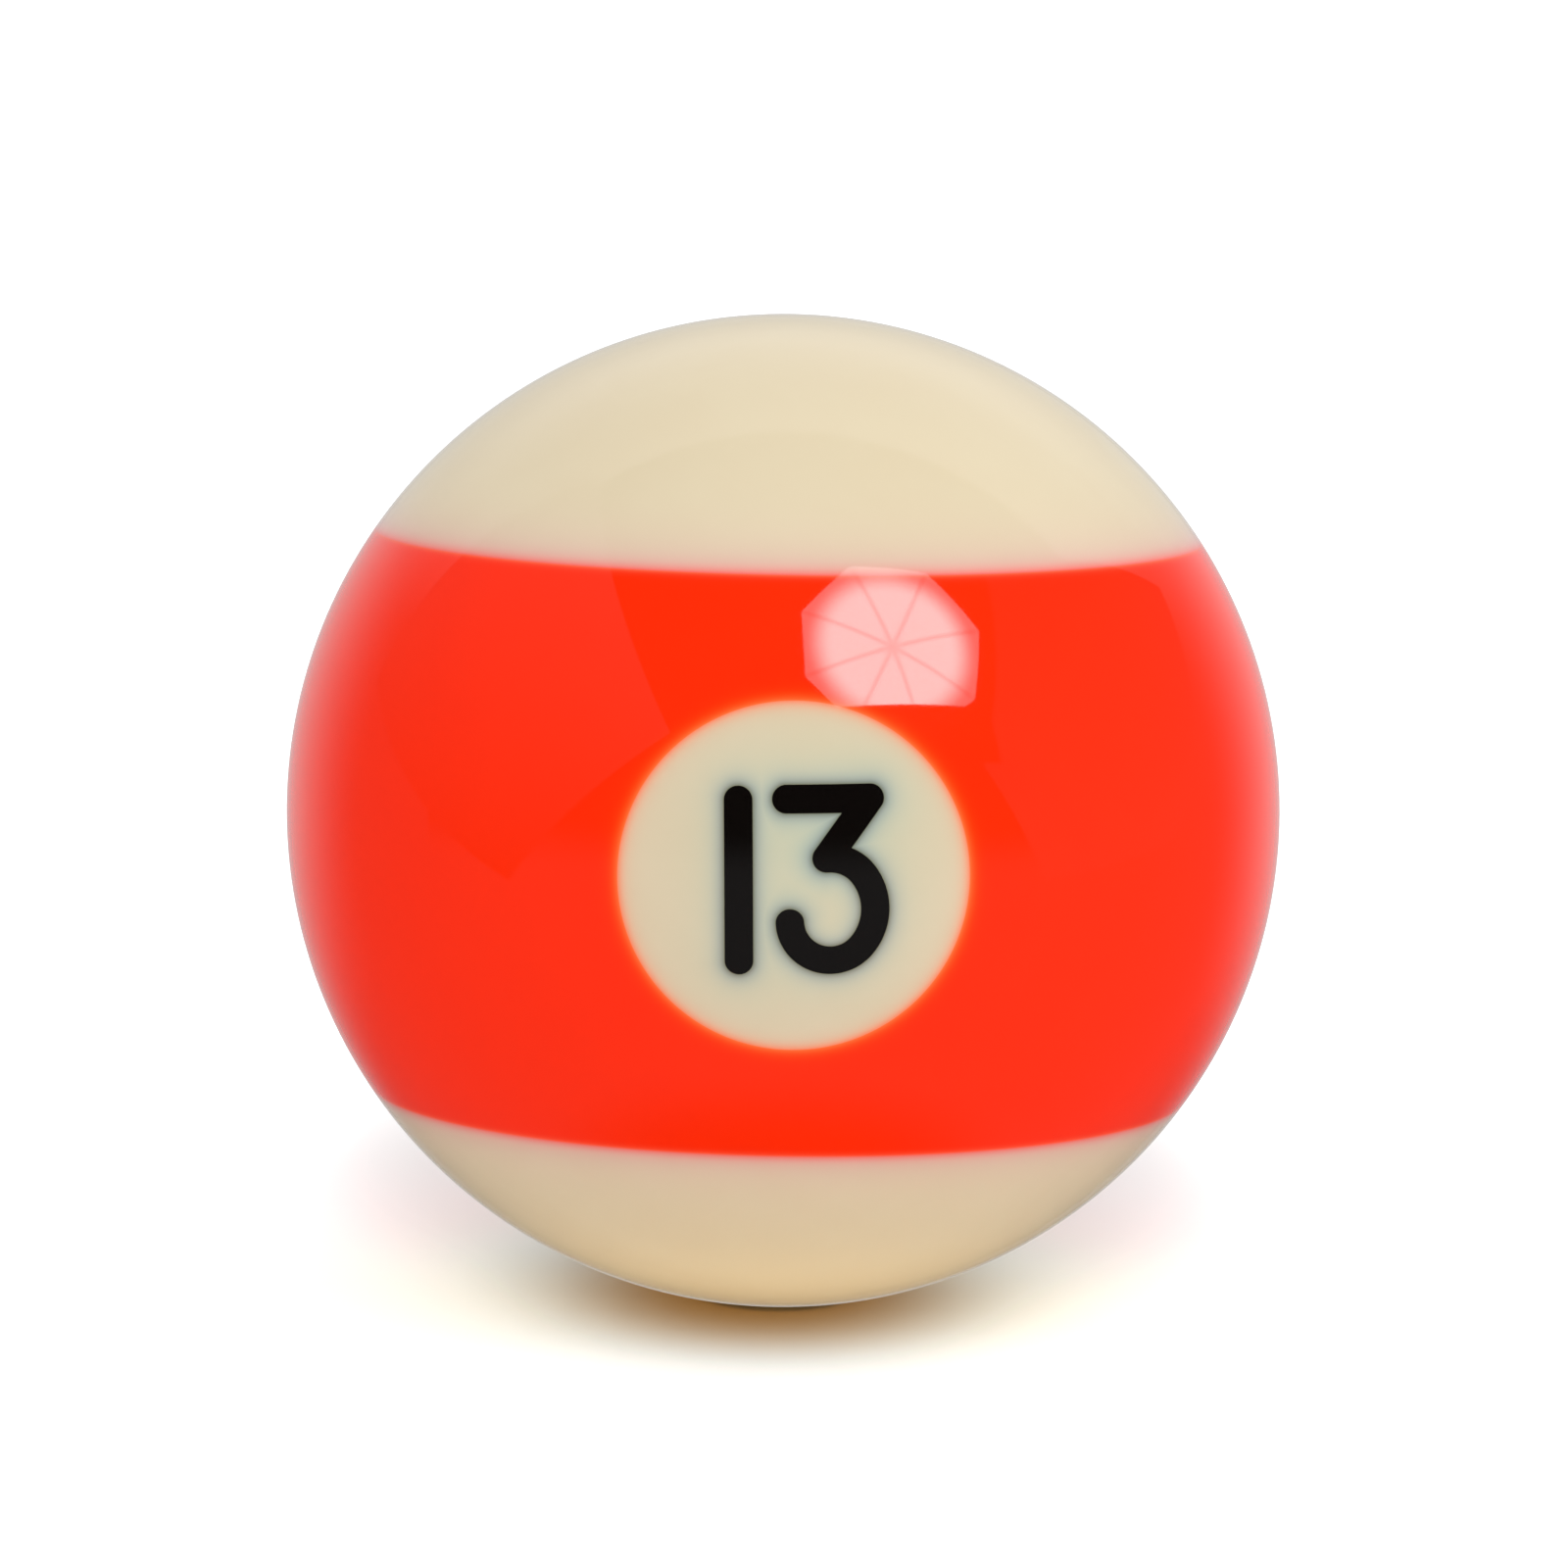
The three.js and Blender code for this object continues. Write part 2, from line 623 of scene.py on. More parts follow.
@dataclass(frozen=True)
class CoreIvory(CastResin):
    """Ivory resin of the core: orange shows through its rim, and the black figures grey it."""

    name: str = "polished_ivory_phenolic_core"
    colour: str = "#DAC8AB"
    clouded: str = "#D6C4A5"
    core_mm: float = 9.55
    core_turn: float = 0.0
    stroke_width: float = 1.5
    strokes: tuple[Stroke, ...] = ()
    rim: Stain = Stain("#FC835C", (0.31, 0.31, 0.31))
    haze: Stain = Stain("#CFC6AD", (2.2, 1.5, 1.0))
    shade: Stain = Stain("#81785F", (0.42, 0.32, 0.2))

    def stains(self, tree: Tree, place_mm: Source) -> list[tuple[Stain, Source]]:
        """Greys the ivory near each stroke of the figures, and warms it at the rim.

        Args:
            tree: Node tree of the resin.
            place_mm: The point on the ball in millimetres.

        Returns:
            Each stain with the distance from its edge.
        """
        measured = StrokeField(tree, self.figure_plane(tree, place_mm))
        edges = [
            distance_past(tree, measured.distance(stroke), self.stroke_width / 2)
            for stroke in self.strokes
        ]
        hazes = [(self.haze, edge) for edge in edges]
        inside = distance_past(tree, self.core_mm, distance_from_core_axis(tree, place_mm))
        return [*hazes, (self.shade, nearest(tree, edges)), (self.rim, inside)]

    def figure_plane(self, tree: Tree, place_mm: Source) -> Node:
        """Lays a point in the plane of the figures at its own end of the core.

        Args:
            tree: Node tree of the resin.
            place_mm: The point on the ball in millimetres.

        Returns:
            The point as (right, up, 0).
        """
        back_turn = {"Vector": place_mm, "Angle": -self.core_turn}
        upright = add_node(tree, "ShaderNodeVectorRotate", back_turn, rotation_type="Y_AXIS")
        parts = add_node(tree, "ShaderNodeSeparateXYZ", (upright,))
        end = add_node(tree, MATH, (parts.outputs["Y"],), operation="SIGN")
        facing = add_node(tree, MATH, (end, -1.0), operation="MULTIPLY")
        right = add_node(tree, MATH, (parts.outputs["X"], facing), operation="MULTIPLY")
        return add_node(tree, "ShaderNodeCombineXYZ", (right, parts.outputs["Z"]))


def distance_past(tree: Tree, far: Source, near: Source) -> Node:
    """How far one distance is past another, and 0 where it isn't."""
    past = add_node(tree, MATH, (far, near), operation="SUBTRACT")
    return add_node(tree, MATH, (past, 0.0), operation="MAXIMUM")


def distance_from_middle(tree: Tree, place_mm: Source) -> Node:
    """How far a point is above or below the ball's middle."""
    height = add_node(tree, "ShaderNodeSeparateXYZ", (place_mm,)).outputs["Z"]
    return add_node(tree, MATH, (height,), operation="ABSOLUTE")


def distance_from_core_axis(tree: Tree, place_mm: Source) -> Socket:
    """How far a point is from the Y axis, which the core runs along."""
    flat = add_node(tree, VECTOR_MATH, (place_mm, ACROSS_CORE), operation="MULTIPLY")
    return add_node(tree, VECTOR_MATH, (flat,), operation="LENGTH").outputs["Value"]


def nearest(tree: Tree, distances: Iterable[Source]) -> Source:
    """Finds the least of several distances.

    Args:
        tree: Node tree of the resin.
        distances: The distances.

    Returns:
        The least of them.
    """
    first, *rest = distances
    for other in rest:
        first = add_node(tree, MATH, (first, other), operation="MINIMUM")
    return first


@dataclass(frozen=True)
class StrokeField:
    """Shader nodes that measure how far a point is from the centre line of a stroke."""

    tree: Tree
    point: Source
    out_of_reach: float = 100.0

    def from_point(self, at: Point) -> Socket:
        """Distance from a point."""
        ends = (self.point, (*at, 0.0))
        return add_node(self.tree, VECTOR_MATH, ends, operation="DISTANCE").outputs["Value"]

    def from_line(self, start: Point, end: Point) -> Socket:
        """Distance from a straight line.

        Args:
            start: One end of the line.
            end: Its other end.

        Returns:
            The distance in millimetres.
        """
        tree = self.tree
        along = Vector((end[0] - start[0], end[1] - start[1], 0.0))
        gap = add_node(tree, VECTOR_MATH, (self.point, (*start, 0.0)), operation="SUBTRACT")
        unit = along / along.length_squared
        share = add_node(tree, VECTOR_MATH, (gap, unit), operation="DOT_PRODUCT").outputs["Value"]
        share = add_node(tree, MATH, (share, 0.0), operation="MAXIMUM")
        share = add_node(tree, MATH, (share, 1.0), operation="MINIMUM")
        foot = add_node(tree, VECTOR_MATH, {0: along, "Scale": share}, operation="SCALE")
        return add_node(tree, VECTOR_MATH, (gap, foot), operation="DISTANCE").outputs["Value"]

    def from_arc(self, arc: Arc) -> Node:
        """Distance from an arc for a point beside it, and out of reach past its ends.

        Args:
            arc: The arc, less than half a turn.

        Returns:
            The distance in millimetres.
        """
        tree = self.tree
        gap = add_node(tree, VECTOR_MATH, (self.point, (*arc.centre, 0.0)), operation="SUBTRACT")
        reach = add_node(tree, VECTOR_MATH, (gap,), operation="LENGTH").outputs["Value"]
        across = add_node(tree, MATH, (reach, arc.radius), operation="SUBTRACT")
        across = add_node(tree, MATH, (across,), operation="ABSOLUTE")
        last = arc.start - arc.sweep
        sides = (
            (math.sin(arc.start), -math.cos(arc.start), 0.0),
            (-math.sin(last), math.cos(last), 0.0),
        )
        dots = [
            add_node(tree, VECTOR_MATH, (gap, side), operation="DOT_PRODUCT").outputs["Value"]
            for side in sides
        ]
        past = add_node(tree, MATH, (nearest(tree, dots), 0.0), operation="LESS_THAN")
        return add_node(tree, MATH, (past, self.out_of_reach, across), operation="MULTIPLY_ADD")

    def distance(self, stroke: Stroke) -> Source:
        """Distance from a whole stroke.

        Args:
            stroke: The stroke, in millimetres in the plane of the figure.

        Returns:
            The distance in millimetres.
        """
        found: list[Source] = [self.from_line(stroke.start, stroke.corner)]
        found.extend(self.from_arc(arc) for arc in stroke.arcs())
        if stroke.bends:
            found.append(self.from_point(stroke.finish()[0]))
        return nearest(self.tree, found)


# ---------------- The ball ----------------


@dataclass
class Casting:
    """A finished piece of the ball: what it stands for and how it is finished."""

    piece: Object
    node: str
    slot: Slot
    finish: Material
    radius: float
    surface_tolerance: float = 0.01 * MM
    smooth_angle: float = math.radians(20)

    def hand_over(self) -> None:
        """Polishes and dresses the piece, ties it to the frame and reports it."""
        self.polish()
        self.piece.data.materials.clear()
        self.piece.data.materials.append(self.finish)
        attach(self.piece, BODY)
        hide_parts(self.node)
        name, faces = self.piece.name, len(self.piece.data.polygons)
        log.info("%s stands for %s: %d faces, %s", name, self.node, faces, self.finish.name)

    def polish(self) -> None:
        """Gives the faces on the ball's surface the normals of the true sphere.

        The castings are ground together, so a reflection runs over every bonded edge unbroken.
        """
        pick(self.piece)
        bpy.ops.object.shade_smooth_by_angle(angle=self.smooth_angle)
        mesh = self.piece.data
        corners = np.empty(len(mesh.loops), np.int32)
        mesh.loops.foreach_get("vertex_index", corners)
        points = np.empty(3 * len(mesh.vertices), np.float32)
        mesh.vertices.foreach_get("co", points)
        points = points.reshape(-1, 3)[corners]
        depth = self.radius - np.linalg.norm(points, axis=1)
        on_surface = depth < self.surface_tolerance
        normals = np.zeros_like(points)
        for face in mesh.polygons:
            span = slice(face.loop_start, face.loop_start + face.loop_total)
            outer = on_surface[span].all() and face.normal.dot(face.center) > 0
            normals[span] = points[span] if outer else np.array(face.normal)
        normals /= np.linalg.norm(normals, axis=1, keepdims=True)
        mesh.normals_split_custom_set(normals)


@dataclass
class Blank:
    """The rough ball that every casting is cut from, so that their edges match."""

    sizes: BallSizes
    steps_around: int = 256
    core_steps: int = 192
    drill_length_in_radii: float = 3.0
    margin: float = 1.5 * MM

    whole: Object = field(init=False)

    def __post_init__(self) -> None:
        """Makes the whole ball, with poles on Z and a ring of corners at its equator."""
        bpy.ops.mesh.primitive_uv_sphere_add(
            segments=self.steps_around, ring_count=self.steps_around // 2, radius=self.sizes.radius
        )
        self.whole = name_new("whole_ball")

    def ball(self, name: str) -> Object:
        """Another ball to cut a casting from."""
        return copy_of(self.whole, name)

    def drill(self, name: str) -> Object:
        """Makes a cylinder along Y of the core's size, longer than the ball.

        Args:
            name: The cylinder's name.

        Returns:
            The cylinder.
        """
        bpy.ops.mesh.primitive_cylinder_add(
            vertices=self.core_steps,
            radius=self.sizes.core_radius,
            depth=self.drill_length_in_radii * self.sizes.radius,
            rotation=(math.pi / 2, 0, 0),
        )
        made = name_new(name)
        place(made, made.matrix_world.copy())
        return made

    def core(self, name: str, drill: Object) -> Object:
        """Cuts out the part of the ball inside the drill, with its rounded ends.

        Args:
            name: The core's name.
            drill: Cylinder of the core's size along Y.

        Returns:
            The core.
        """
        made = self.ball(name)
        reach = self.sizes.core_radius + self.margin
        for outward in (Vector((1, 0, 0)), Vector((0, 0, 1))):
            slice_off(made, outward * reach, outward)
            slice_off(made, -outward * reach, -outward)
        use_tool(made, drill, Cut.KEEP)
        return made


@dataclass
class Domes:
    """The two ivory domes above and below the stripe."""

    sizes: BallSizes
    blank: Blank

    def build(self) -> None:
        """Cuts both domes from the ball and finishes them."""
        ivory = DomeIvory(edge_mm=self.sizes.band_half_height / MM).material()
        for name, node, side in (("dome_top", "upper_cap", 1), ("dome_bottom", "lower_cap", -1)):
            dome = self.blank.ball(name)
            up = Vector((0, 0, side))
            slice_off(dome, up * self.sizes.band_half_height, -up)
            weld(dome)
            Casting(dome, node, Slot.IVORY, ivory, self.sizes.radius).hand_over()


@dataclass
class Stripe:
    """The orange slab through the ball, bored for the core."""

    sizes: BallSizes
    blank: Blank

    def build(self, drill: Object) -> None:
        """Slices the slab from the ball, bores it and finishes it.

        Args:
            drill: Cylinder of the core's size along Y.
        """
        slab = self.blank.ball("stripe_slab")
        for up in (Vector((0, 0, 1)), Vector((0, 0, -1))):
            slice_off(slab, up * self.sizes.band_half_height, up)
        use_tool(slab, drill, Cut.REMOVE)
        weld(slab)
        orange = StripeOrange(
            core_mm=self.sizes.core_radius / MM,
            edge_mm=self.sizes.band_half_height / MM,
        ).material()
        Casting(slab, "stripe_band", Slot.ORANGE, orange, self.sizes.radius).hand_over()


@dataclass
class FigureCutter:
    """A round cutter, driven along the strokes of a figure to shape its recess and its inlay."""

    sizes: BallSizes
    figures: FigureSizes
    round_steps: int = 64
    bend_step: float = math.radians(3)
    square_sides: int = 4
    clearance: float = 1 * MM
    made: list[Object] = field(default_factory=list)

    @property
    def depth(self) -> float:
        """How far the cutter reaches, from the bottom of the recess to clear of the ball."""
        return self.sizes.inlay_depth + self.clearance

    @property
    def width(self) -> float:
        """The cutter's diameter, and so the stroke's width."""
        return self.figures.stroke_width * MM

    def round_end(self, at: Point, heading: float) -> Object:
        """The half cylinder that the cutter leaves ahead of it where it stops.

        Args:
            at: Where the cutter stops, in millimetres in the plane of the figure.
            heading: The way it was going.

        Returns:
            The half cylinder, open where the stroke joins it.
        """
        x, y = at[0] * MM, at[1] * MM
        bpy.ops.mesh.primitive_cylinder_add(
            vertices=self.round_steps,
            radius=self.width / 2,
            depth=self.depth,
            location=(x, y, 0),
            rotation=(0, 0, heading),
        )
        end = name_new("round_end")
        place(end, end.matrix_world.copy())
        back = Vector((-math.cos(heading), -math.sin(heading), 0))
        slice_off(end, Vector((x, y, 0)), back, cap=False)
        return end

    def channel(self, stroke: Stroke) -> Object:
        """The stroke between its ends: an upright frame drawn out along the centre line.

        Args:
            stroke: The centre line.

        Returns:
            The open channel.
        """
        x, y = (value * MM for value in stroke.start)
        bpy.ops.mesh.primitive_plane_add(
            size=1, location=(x, y, 0), rotation=(0, math.pi / 2, stroke.heading)
        )
        channel = name_new("channel")
        channel.scale = (self.depth, self.width, 1)
        bpy.ops.object.transform_apply(location=True, rotation=True, scale=True)
        edit_all(channel)
        bpy.ops.mesh.delete(type="ONLY_FACE")
        bpy.ops.mesh.select_all(action="SELECT")
        run = stroke.run * MM
        move = (run * math.cos(stroke.heading), run * math.sin(stroke.heading), 0)
        bpy.ops.mesh.extrude_edges_move(TRANSFORM_OT_translate={"value": move})
        for arc in stroke.arcs():
            bpy.ops.mesh.spin(
                steps=max(1, round(arc.sweep / self.bend_step)),
                angle=arc.sweep,
                center=(arc.centre[0] * MM, arc.centre[1] * MM, 0),
                axis=(0, 0, 1),
            )
        close_edit()
        return channel

    def stroke_tool(self, stroke: Stroke) -> Object:
        """Makes the closed solid that one stroke takes out of the core.

        Args:
            stroke: The centre line.

        Returns:
            The solid.
        """
        parts = [self.channel(stroke)]
        if stroke.round_start:
            parts.append(self.round_end(stroke.start, stroke.heading + math.pi))
        if stroke.round_finish:
            parts.append(self.round_end(*stroke.finish()))
        pick(*parts)
        bpy.ops.object.join()
        weld(parts[0])
        edit_all(parts[0])
        bpy.ops.mesh.fill_holes(sides=self.square_sides)
        bpy.ops.mesh.normals_make_consistent(inside=False)
        close_edit()
        return parts[0]

    def tool(self, strokes: Iterable[Stroke], end: End) -> Object:
        """The solid of a whole figure, in place at one end of the core.

        Args:
            strokes: The figure's strokes.
            end: Which end of the core it is cut into.

        Returns:
            The tool.
        """
        whole, *rest = [self.stroke_tool(stroke) for stroke in strokes]
        for other in rest:
            use_tool(whole, other, Cut.JOIN)
        discard(rest)
        middle = self.sizes.radius + self.clearance - self.depth / 2
        stand = Matrix.Translation((0, -middle, 0)) @ Matrix.Rotation(math.pi / 2, 4, "X")
        face = Matrix.Rotation(math.radians(end.value), 4, "Z")
        turn = Matrix.Rotation(self.sizes.core_turn, 4, "Y")
        place(whole, turn @ face @ stand)
        self.made.append(whole)
        return whole


@dataclass
class NumberCore:
    """The ivory core with a black 1 and 3 let into each of its rounded ends."""

    sizes: BallSizes
    blank: Blank
    figures: FigureSizes

    def build(self, drill: Object) -> None:
        """Cuts the figures' recesses, fills them and finishes all five pieces.

        Args:
            drill: Cylinder of the core's size along Y.
        """
        core = self.blank.core("disc_core", drill)
        uncut = copy_of(core, "uncut_core")
        cutter = FigureCutter(self.sizes, self.figures)
        black = FigureBlack().material()
        for end in End:
            for figure, strokes in (("one", self.figures.one()), ("three", self.figures.three())):
                tool = cutter.tool(strokes, end)
                use_tool(core, tool, Cut.REMOVE)
                inlay = copy_of(tool, f"figure_{figure}_{end.label}")
                use_tool(inlay, uncut, Cut.KEEP)
                weld(inlay)
                node = f"numeral_{figure}_{end.label}"
                Casting(inlay, node, Slot.BLACK, black, self.sizes.radius).hand_over()
        weld(core)
        discard([uncut, *cutter.made])
        ivory = CoreIvory(
            core_mm=self.sizes.core_radius / MM,
            core_turn=self.sizes.core_turn,
            stroke_width=self.figures.stroke_width,
            strokes=(*self.figures.one(), *self.figures.three()),
        ).material()
        Casting(core, "number_core", Slot.IVORY, ivory, self.sizes.radius).hand_over()


# ---------------- The studio ----------------


def direction_of(azimuth: float, elevation: float) -> Vector:
    """The way to a light: degrees round from the front towards +X, and degrees up."""
    a, e = math.radians(azimuth), math.radians(elevation)
    return Vector((math.sin(a) * math.cos(e), -math.cos(a) * math.cos(e), math.sin(e)))


def aimed(way: Vector, axis: str, roll: float) -> Quaternion:
    """The turn that points an axis along a way, rolled about it by some degrees."""
    return way.to_track_quat(axis, "Y") @ Quaternion((0, 0, 1), math.radians(roll))


def hide_from_all_but_polish(piece: Object) -> None:
    """Leaves a piece of the studio to be seen in reflections only.

    Args:
        piece: The object.
    """
    piece.visible_camera = False
    piece.visible_diffuse = False
    piece.visible_shadow = False


@dataclass(frozen=True)
class PaintedTableShadow:
    """A shadow painted on the table where the ball keeps light off it: darkest at its centre,
    fading out all round.

    Millimetres. The tint is the share of each colour that is left at the centre. A colour with
    a greater fall comes back nearer to the centre, and a steeper shade has a firmer edge.
    """

    centre: Point
    size: Point
    tint: Triple
    fall: Triple
    steepness: float

    def left(self, tree: Tree, place_m: Source) -> Node:
        """Works out the share of each colour that is left at a point.

        Args:
            tree: Node tree of the table.
            place_m: The point in metres.

        Returns:
            The three shares.
        """
        x, y = (value * MM for value in self.centre)
        wide, deep = (value * MM for value in self.size)
        to_shade = (place_m, (1 / wide, 1 / deep, 0.0), (-x / wide, -y / deep, 0.0))
        scaled = add_node(tree, VECTOR_MATH, to_shade, operation="MULTIPLY_ADD")
        squared = add_node(tree, VECTOR_MATH, (scaled, scaled), operation="DOT_PRODUCT")
        away = (squared.outputs["Value"], self.steepness)
        away = add_node(tree, MATH, away, operation="POWER")
        fade = tuple(math.exp(-fall) for fall in self.fall)
        near = add_node(tree, VECTOR_MATH, (fade, away), operation="POWER")
        change = tuple(tint - 1 for tint in self.tint)
        return add_node(tree, VECTOR_MATH, (near, change, WHOLE), operation="MULTIPLY_ADD")


@dataclass
class TableTop:
    """A wide matt white surface that the ball stands on."""

    ball_radius: float
    width: float = 12.0
    exposure: float = 1.3
    # painted shadows of the ball on the table: dark and warm at its foot, grey behind it
    shades: tuple[PaintedTableShadow, ...] = (
        PaintedTableShadow((-0.7, 2.6), (12.9, 20.8), (0.32, 0.19, 0.06), (0.78, 1.1, 1.4), 1.6),
        PaintedTableShadow((1.1, 45.0), (29.5, 49.0), (0.56, 0.56, 0.56), (1.0, 1.0, 1.0), 3.2),
    )

    def build(self) -> None:
        """Lays the surface under the ball."""
        bpy.ops.mesh.primitive_plane_add(size=self.width, location=(0, 0, -self.ball_radius))
        top = name_new("table_top")
        top.data.materials.append(self.laminate())
        top.visible_glossy = False

    def laminate(self) -> Material:
        """Matt white laminate, over-exposed to the camera, with the ball's shadow painted on it:
        dark and warm at its foot, grey behind it.

        Returns:
            The material.
        """
        matt, tree = blank_material("matt_white_laminate")
        place_m = add_node(tree, "ShaderNodeTexCoord").outputs["Object"]
        lifted_with_painted_shadow: Source = tuple(self.exposure * share for share in WHOLE)
        # the camera sees the table lifted, then darkened by each painted shadow
        for shade in self.shades:
            shaded = (lifted_with_painted_shadow, shade.left(tree, place_m))
            lifted_with_painted_shadow = add_node(tree, VECTOR_MATH, shaded, operation="MULTIPLY")
        seen = add_node(tree, "ShaderNodeLightPath").outputs["Is Camera Ray"]
        first, second, mixed = MIX_VECTORS
        shares = {0: seen, first: WHOLE, second: lifted_with_painted_shadow}
        colour = add_node(tree, MIX, shares, data_type="VECTOR").outputs[mixed]
        diffuse = add_node(tree, "ShaderNodeBsdfDiffuse", (colour,))
        add_node(tree, "ShaderNodeOutputMaterial", (diffuse,))
        return matt


@dataclass
class RoomLight:
    """Even light from all round, and the dim room that the polish reflects.

    Levels are the strength of the light. Each pair is where a level starts and where it is full,
    as the share of a direction that points back, up or over the camera.
    """

    fill: float = 0.69
    overhead: float = 0.37
    window: float = 0.2
    backdrop: float = 1.2
    dim: float = 0.12
    glow: float = 0.5
    ceiling: float = 0.28
    window_side: Point = (0.0, 1.0)
    glow_back: Point = (0.4, 0.95)
    glow_up: Point = (-0.5, -0.1)
    ceiling_way: Triple = (0.0, 0.97, -0.24)
    ceiling_edge: Point = (-0.02, 0.02)
    ceiling_up: Point = (0.3, 0.6)
    floor_up: Point = (0.05, -0.15)
    under_ball: Point = (-0.97, -0.8)

    def build(self) -> None:
        """Makes the world."""
        world = bpy.data.worlds.new("white_room")
        bpy.context.scene.world = world
        world.use_nodes = True
        tree = world.node_tree
        tree.nodes.clear()
        path = add_node(tree, "ShaderNodeLightPath").outputs
        way = add_node(tree, "ShaderNodeTexCoord").outputs["Generated"]
        parts = add_node(tree, "ShaderNodeSeparateXYZ", (way,)).outputs
        side = (parts["X"], *self.window_side)
        right = add_node(tree, MAP_RANGE, side, interpolation_type="SMOOTHSTEP")
        rise = (parts["Z"], self.overhead, self.fill)
        level = add_node(tree, MATH, rise, operation="MULTIPLY_ADD")
        soft = add_node(tree, MATH, (right, self.window, level), operation="MULTIPLY_ADD")
        first, second, _ = MIX_NUMBERS
        seen = {0: path["Is Camera Ray"], first: soft, second: self.backdrop}
        seen = add_node(tree, MIX, seen)
        strength = {0: path["Is Glossy Ray"], first: seen, second: self.reflected(tree, way)}
        strength = add_node(tree, MIX, strength)
        background = add_node(tree, "ShaderNodeBackground", (linear(WHITE), strength))
        add_node(tree, "ShaderNodeOutputWorld", (background,))

    def reflected(self, tree: Tree, way: Socket) -> Source:
        """The room in the ball's polish.

        The lit backdrop glows behind the ball and over it, the floor is dim, and the room is
        dark over and behind the camera.

        Args:
            tree: The world's node tree.
            way: The direction that a reflection looks in.

        Returns:
            The strength of the reflected light.
        """
        parts = add_node(tree, "ShaderNodeSeparateXYZ", (way,)).outputs
        back, up = parts["Y"], parts["Z"]
        over = add_node(tree, VECTOR_MATH, (way, self.ceiling_way), operation="DOT_PRODUCT")
        far, above, behind, high, floor, clear = (
            add_node(tree, MAP_RANGE, (share, *edges), interpolation_type="SMOOTHSTEP")
            for share, edges in (
                (back, self.glow_back),
                (up, self.glow_up),
                (over.outputs["Value"], self.ceiling_edge),
                (up, self.ceiling_up),
                (up, self.floor_up),
                (up, self.under_ball),
            )
        )
        lit = add_node(tree, MATH, (behind, floor), operation="MAXIMUM")
        lights: list[Source] = []
        for level, *shares in (
            (self.glow, far, above),
            (self.ceiling, behind, high),
            (self.dim, lit, clear),
        ):
            for share in shares:
                level = add_node(tree, MATH, (level, share), operation="MULTIPLY")
            lights.append(level)
        total, *rest = lights
        for light in rest:
            total = add_node(tree, MATH, (total, light), operation="ADD")
        return total


@dataclass
class Card:
    """A flat studio card that only the polish of the ball sees.

    Its outline is given by where its corners stand, seen from the ball: degrees round from the
    front towards +X, and degrees up.
    """

    name: str
    outline: tuple[Point, ...]
    low_glow: float
    high_glow: float
    distance: float = 1.2

    def build(self) -> None:
        """Hangs the card square to the line from the ball to its middle."""
        ways = [direction_of(*corner) for corner in self.outline]
        middle = sum(ways, Vector()).normalized()
        bpy.ops.mesh.primitive_circle_add(vertices=len(ways), fill_type="NGON")
        card = name_new(self.name)
        for vertex, way in zip(card.data.vertices, ways):
            vertex.co = way * self.distance / way.dot(middle)
        card.data.materials.append(self.cloth())
        hide_from_all_but_polish(card)

    def cloth(self) -> Material:
        """Plain cloth that glows by its height.

        Returns:
            The material.
        """
        made, tree = blank_material(f"{self.name}_cloth")
        place_m = add_node(tree, "ShaderNodeTexCoord").outputs["Object"]
        height = add_node(tree, "ShaderNodeSeparateXYZ", (place_m,)).outputs["Z"]
        heights = [self.distance * math.sin(math.radians(up)) for _, up in self.outline]
        rise = (height, min(heights), max(heights), self.low_glow, self.high_glow)
        glow = add_node(tree, MAP_RANGE, rise)
        light = add_node(tree, "ShaderNodeEmission", {"Strength": glow})
        add_node(tree, "ShaderNodeOutputMaterial", (light,))
        return made


CARDS = (
    Card("white_card", ((-116, 57), (-29, 23), (-66, -11), (-118, 12)), 0.03, 0.2),
    Card("grey_card", ((74, 51), (46, 15), (60, -9), (100, -4), (125, 23)), 0.14, 0.06),
    Card("black_flag", ((5, 29.7), (50, 26.2), (50, 15), (5, 18)), 0.0, 0.0, distance=0.7),
)


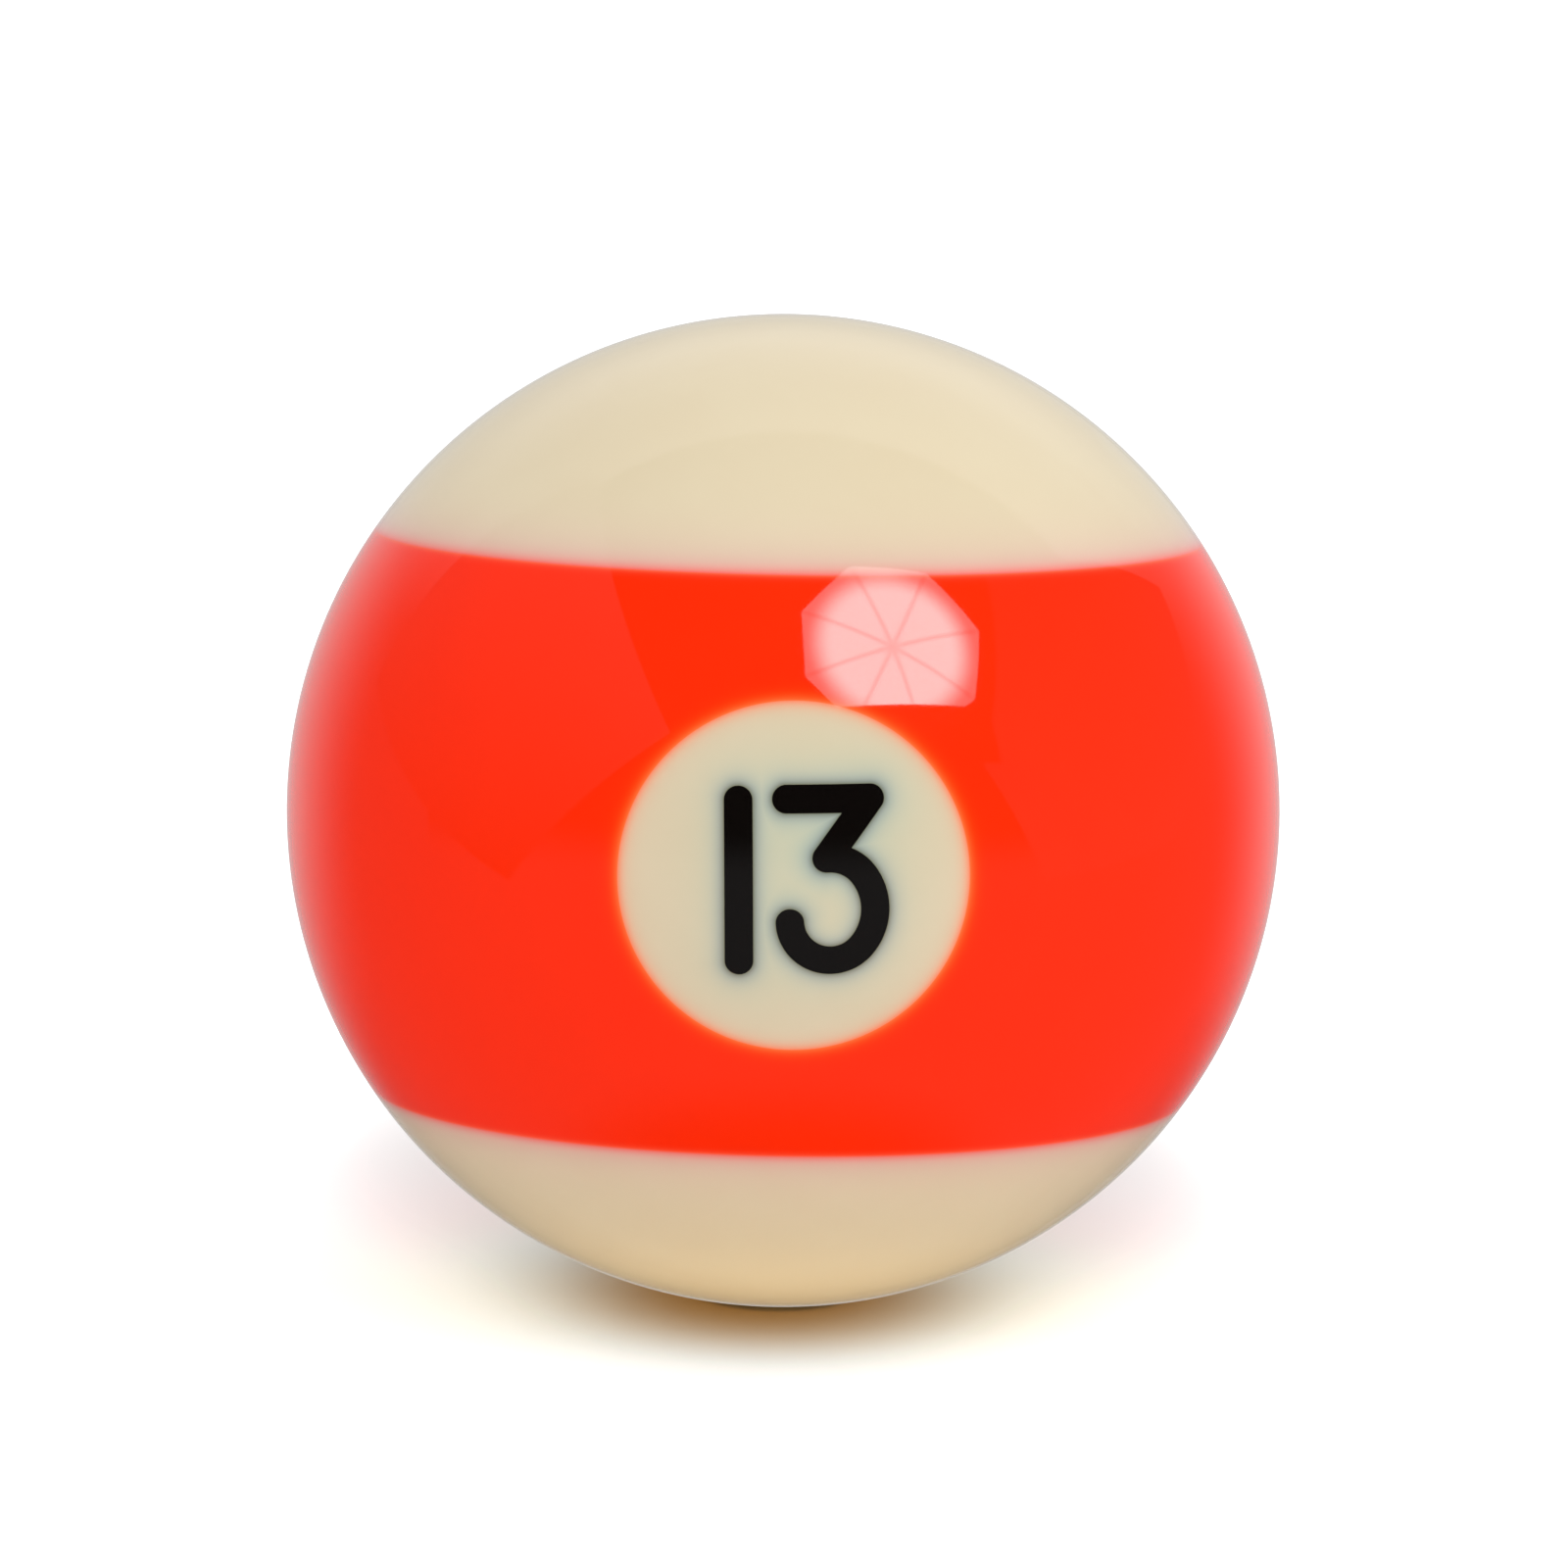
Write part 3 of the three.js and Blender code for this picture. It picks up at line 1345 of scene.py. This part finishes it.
@dataclass
class KeyLight:
    """A white umbrella above and to the right of the camera: eight panels stretched on ribs.

    The hem and the rib are given in shares of the umbrella's radius, and their levels in shares
    of its full glare.
    """

    azimuth: float = 29.6
    elevation: float = 42.6
    distance: float = 0.8
    spread: Point = (20.4, 20.0)
    roll: float = 28.5
    panels: int = 8
    glare: float = 9.6
    power: float = 1.7
    hem: Point = (0.92, 0.6)
    hem_level: float = 0.22
    rib: Point = (0.0, 0.16)
    rib_level: float = 0.75

    def build(self) -> None:
        """Hangs the umbrella: the face that the polish reflects, and the soft light it throws."""
        way = direction_of(self.azimuth, self.elevation)
        wide, tall = (self.distance * math.tan(math.radians(half)) for half in self.spread)
        bpy.ops.mesh.primitive_circle_add(
            vertices=self.panels, radius=1, fill_type="NGON", rotation=(0, 0, math.pi / self.panels)
        )
        bpy.ops.object.transform_apply(rotation=True)
        face = name_new("umbrella_face")
        face.scale = (wide, tall, 1)
        face.data.materials.append(self.silk())
        hide_from_all_but_polish(face)
        lamp = bpy.data.lights.new("umbrella_light", "AREA")
        lamp.shape = "ELLIPSE"
        lamp.size, lamp.size_y = 2 * wide, 2 * tall
        lamp.energy = self.power
        lamp.use_shadow = False
        holder = bpy.data.objects.new("umbrella_light", lamp)
        holder.visible_glossy = False
        bpy.context.scene.collection.objects.link(holder)
        for hung in (face, holder):
            hung.location = way * self.distance
            hung.rotation_mode = "QUATERNION"
            hung.rotation_quaternion = aimed(way, "Z", self.roll)

    def silk(self) -> Material:
        """White silk that the flash lights from inside: bright in the middle, dim at the hem.

        Returns:
            The material.
        """
        made, tree = blank_material("flashed_white_silk")
        place_m = add_node(tree, "ShaderNodeTexCoord").outputs["Object"]
        from_middle = add_node(tree, VECTOR_MATH, (place_m,), operation="LENGTH")
        reach = from_middle.outputs["Value"]
        bright = add_node(tree, MAP_RANGE, (reach, *self.hem), interpolation_type="SMOOTHSTEP")
        parts = add_node(tree, "ShaderNodeSeparateXYZ", (place_m,)).outputs
        angle = add_node(tree, MATH, (parts["Y"], parts["X"]), operation="ARCTAN2")
        wave = add_node(tree, MATH, (angle, self.panels / 2), operation="MULTIPLY")
        wave = add_node(tree, MATH, (wave,), operation="COSINE")
        off_rib = add_node(tree, MATH, (wave,), operation="ABSOLUTE")
        off_rib = add_node(tree, MATH, (off_rib, reach), operation="MULTIPLY")
        open_silk = (off_rib, *self.rib)
        open_silk = add_node(tree, MAP_RANGE, open_silk, interpolation_type="SMOOTHSTEP")
        level, seams = (
            add_node(tree, MATH, (share, 1 - least, least), operation="MULTIPLY_ADD")
            for share, least in ((bright, self.hem_level), (open_silk, self.rib_level))
        )
        strength = add_node(tree, MATH, (level, seams), operation="MULTIPLY")
        strength = add_node(tree, MATH, (strength, self.glare), operation="MULTIPLY")
        light = add_node(tree, "ShaderNodeEmission", {"Strength": strength})
        add_node(tree, "ShaderNodeOutputMaterial", (light,))
        return made


@dataclass
class TableGlow:
    """The light that the white table throws up under the ball, warmed by the ivory."""

    ball_radius: float
    radius: float = 21 * MM
    radiance: float = 0.49
    lift: float = 0.3 * MM
    colour: str = "#FFE2B0"

    def build(self) -> None:
        """Lays a soft lamp on the table, facing up."""
        lamp = bpy.data.lights.new("table_glow", "AREA")
        lamp.shape = "DISK"
        lamp.size = 2 * self.radius
        lamp.energy = self.radiance * math.pi * math.pi * self.radius**2
        lamp.color = linear(self.colour)[:3]
        holder = bpy.data.objects.new("table_glow", lamp)
        holder.location = (0, 0, self.lift - self.ball_radius)
        holder.rotation_euler = (math.pi, 0, 0)
        holder.visible_camera = False
        holder.visible_glossy = False
        bpy.context.scene.collection.objects.link(holder)


@dataclass
class StudioCamera:
    """A long lens a little above the ball, aimed just over its centre.

    Its place is in degrees and in radii of the ball, the lens and its sensor are in millimetres,
    and the clip is the nearest and the farthest that it sees, in metres.
    """

    ball_radius: float
    azimuth: float = -1.346
    elevation: float = 7.545
    roll: float = 1.097
    distance_in_radii: float = 15.109
    lens: float = 171.9
    sensor_width: float = 36.0
    clip: Point = (0.01, 100.0)
    rise: float = 1.51 * MM
    aside: float = 0.047 * MM

    def build(self) -> None:
        """Sets up the camera and makes it the scene's own."""
        data = bpy.data.cameras.new("camera")
        data.lens = self.lens
        data.sensor_width = self.sensor_width
        data.clip_start, data.clip_end = self.clip
        camera = bpy.data.objects.new("camera", data)
        back = direction_of(self.azimuth, self.elevation)
        camera.location = back * self.distance_in_radii * self.ball_radius
        target = aimed(-back, "-Z", self.roll) @ Vector((self.aside, self.rise, 0))
        forward = (target - camera.location).normalized()
        camera.rotation_mode = "QUATERNION"
        camera.rotation_quaternion = aimed(forward, "-Z", self.roll)
        bpy.context.scene.collection.objects.link(camera)
        bpy.context.scene.camera = camera


def main() -> None:
    """Builds the studio and the ball, and reports each piece."""
    logging.basicConfig(level=logging.INFO, format="%(message)s", force=True)
    sizes = BallSizes.from_frame()
    StudioCamera(sizes.radius).build()
    blank = Blank(sizes)
    drill = blank.drill("core_drill")
    Domes(sizes, blank).build()
    Stripe(sizes, blank).build(drill)
    NumberCore(sizes, blank, FigureSizes()).build(drill)
    discard([drill, blank.whole])
    TableTop(sizes.radius).build()
    RoomLight().build()
    KeyLight().build()
    TableGlow(sizes.radius).build()
    for card in CARDS:
        card.build()
    bpy.context.scene.view_settings.view_transform = "Standard"


if __name__ == "__main__":
    main()
